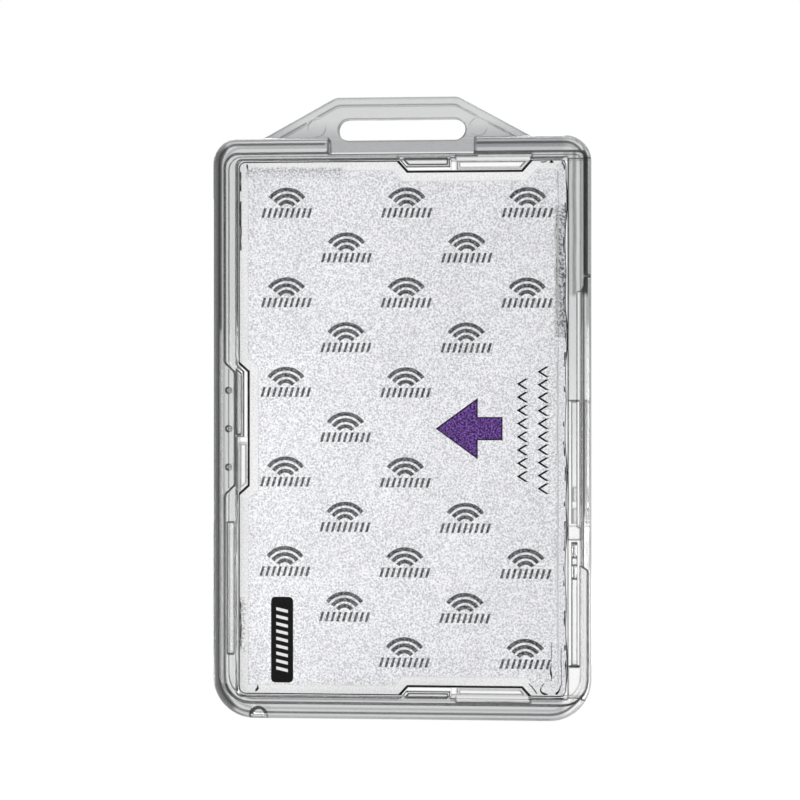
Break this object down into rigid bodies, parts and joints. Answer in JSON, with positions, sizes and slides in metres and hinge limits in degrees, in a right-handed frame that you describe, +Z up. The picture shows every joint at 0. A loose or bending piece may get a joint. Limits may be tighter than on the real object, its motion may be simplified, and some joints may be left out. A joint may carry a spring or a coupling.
{
  "type": "badge holder",
  "caption": "Upright rigid clear badge holder with card bays front and back, side entry, a silver foil shield and a slotted strap tab.",
  "frame": {"origin": "middle of the strap slot, halfway through the tab's plate", "axes": "+Z up the hanging holder, -Y out of the printed front face, +X towards the side where the cards go in"},
  "size_m": [0.061, 0.0072, 0.1004],
  "materials": {
    "clear_rear": "clear polycarbonate, polished",
    "clear_front": "clear polycarbonate, polished",
    "shield_carrier": "white sheet",
    "shield_foil": "bright foil",
    "shield_film": "silver film with a fine sparkle",
    "tape": "pale adhesive tape"
  },
  "bodies": {
    "holder": {"rear_shell": "clear_rear", "front_frame": "clear_front", "shield_carrier": "shield_carrier", "shield_foil": "shield_foil", "shield_film": "shield_film", "tape_top": "tape", "tape_left": "tape", "tape_right": "tape"},
    "front_finger": {"front_finger": "clear_front"},
    "rear_finger": {"rear_finger": "clear_rear"}
  },
  "joints": [
    {"name": "front_finger_flex", "type": "hinge", "parent": "holder", "child": "front_finger", "pos_m": [0.02779, -0.00245, -0.08595], "axis": [1, 0, 0], "range_deg": [0, 2.5], "stiffness_Nm_per_rad": 0.038},
    {"name": "rear_finger_flex", "type": "hinge", "parent": "holder", "child": "rear_finger", "pos_m": [0.02779, 0.00205, -0.04425], "axis": [1, 0, 0], "range_deg": [0, 2.5], "stiffness_Nm_per_rad": 0.038}
  ]
}
